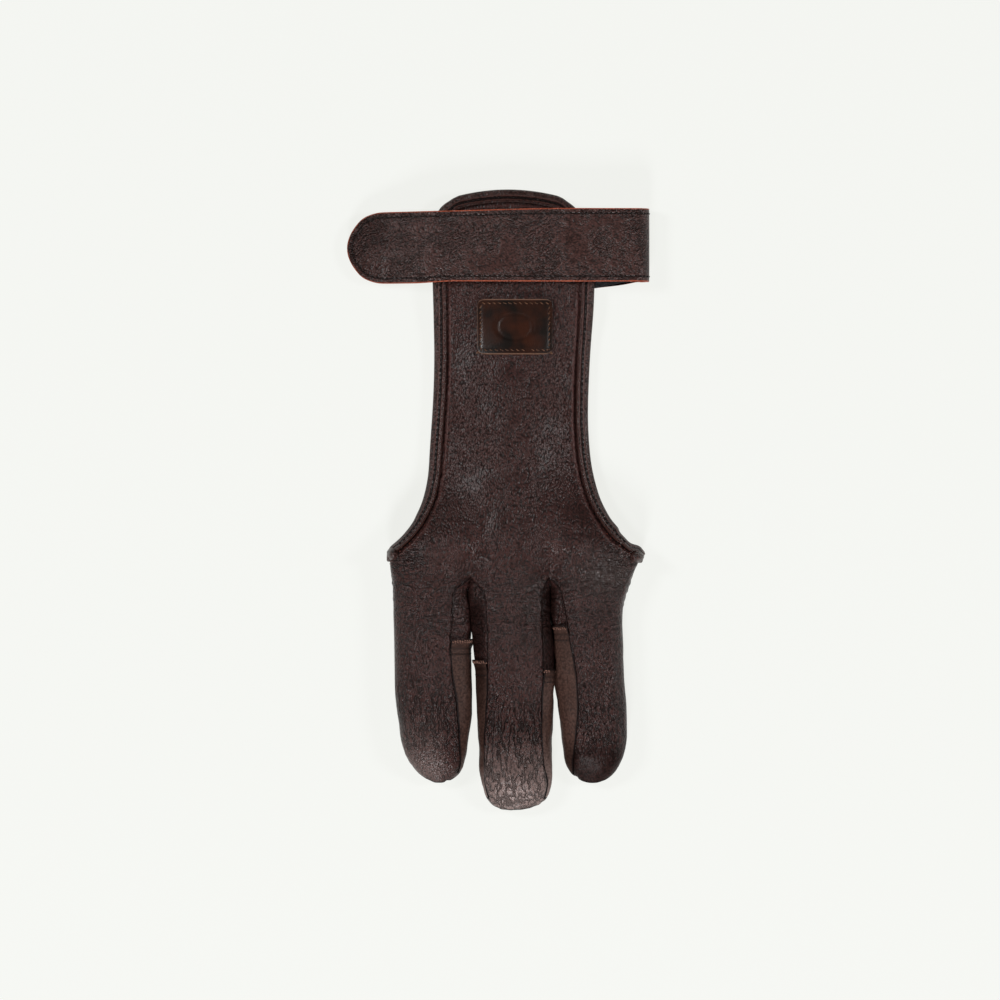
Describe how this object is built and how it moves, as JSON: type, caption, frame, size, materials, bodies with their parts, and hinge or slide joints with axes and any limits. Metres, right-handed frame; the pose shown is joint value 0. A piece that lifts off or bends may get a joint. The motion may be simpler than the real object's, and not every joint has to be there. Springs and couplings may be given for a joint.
{
  "type": "archery glove",
  "caption": "Three-finger leather archery glove lying palm down, open over the palm and thumb side, with a bound back panel and a wrist strap folded over it.",
  "frame": {"origin": "middle of the footprint, on the surface that the glove lies on", "axes": "+X toward the ring finger, +Y toward the wrist, +Z out of the back of the hand"},
  "size_m": [0.1058, 0.2169, 0.0147],
  "materials": {
    "pebbled_leather": "pebbled dark brown deer leather",
    "tip_leather": "smooth dark brown leather, slightly glossy",
    "binding_leather": "thin dark brown leather, folded",
    "strap_leather": "dark brown leather with raw red-brown edges",
    "loop_tape": "black looped tape",
    "hook_tape": "black hooked tape",
    "label_leather": "glossy brown calf leather"
  },
  "bodies": {
    "root": {"back_leather": "pebbled_leather", "palm_leather": "pebbled_leather", "side_wall_index_middle": "pebbled_leather", "side_wall_middle_ring": "pebbled_leather", "tip_index": "tip_leather", "tip_middle": "tip_leather", "tip_ring": "tip_leather", "edge_binding": "binding_leather", "wrist_strap": "strap_leather", "strap_tape": "loop_tape", "hook_patch": "hook_tape", "label_patch": "label_leather"}
  },
  "joints": []
}
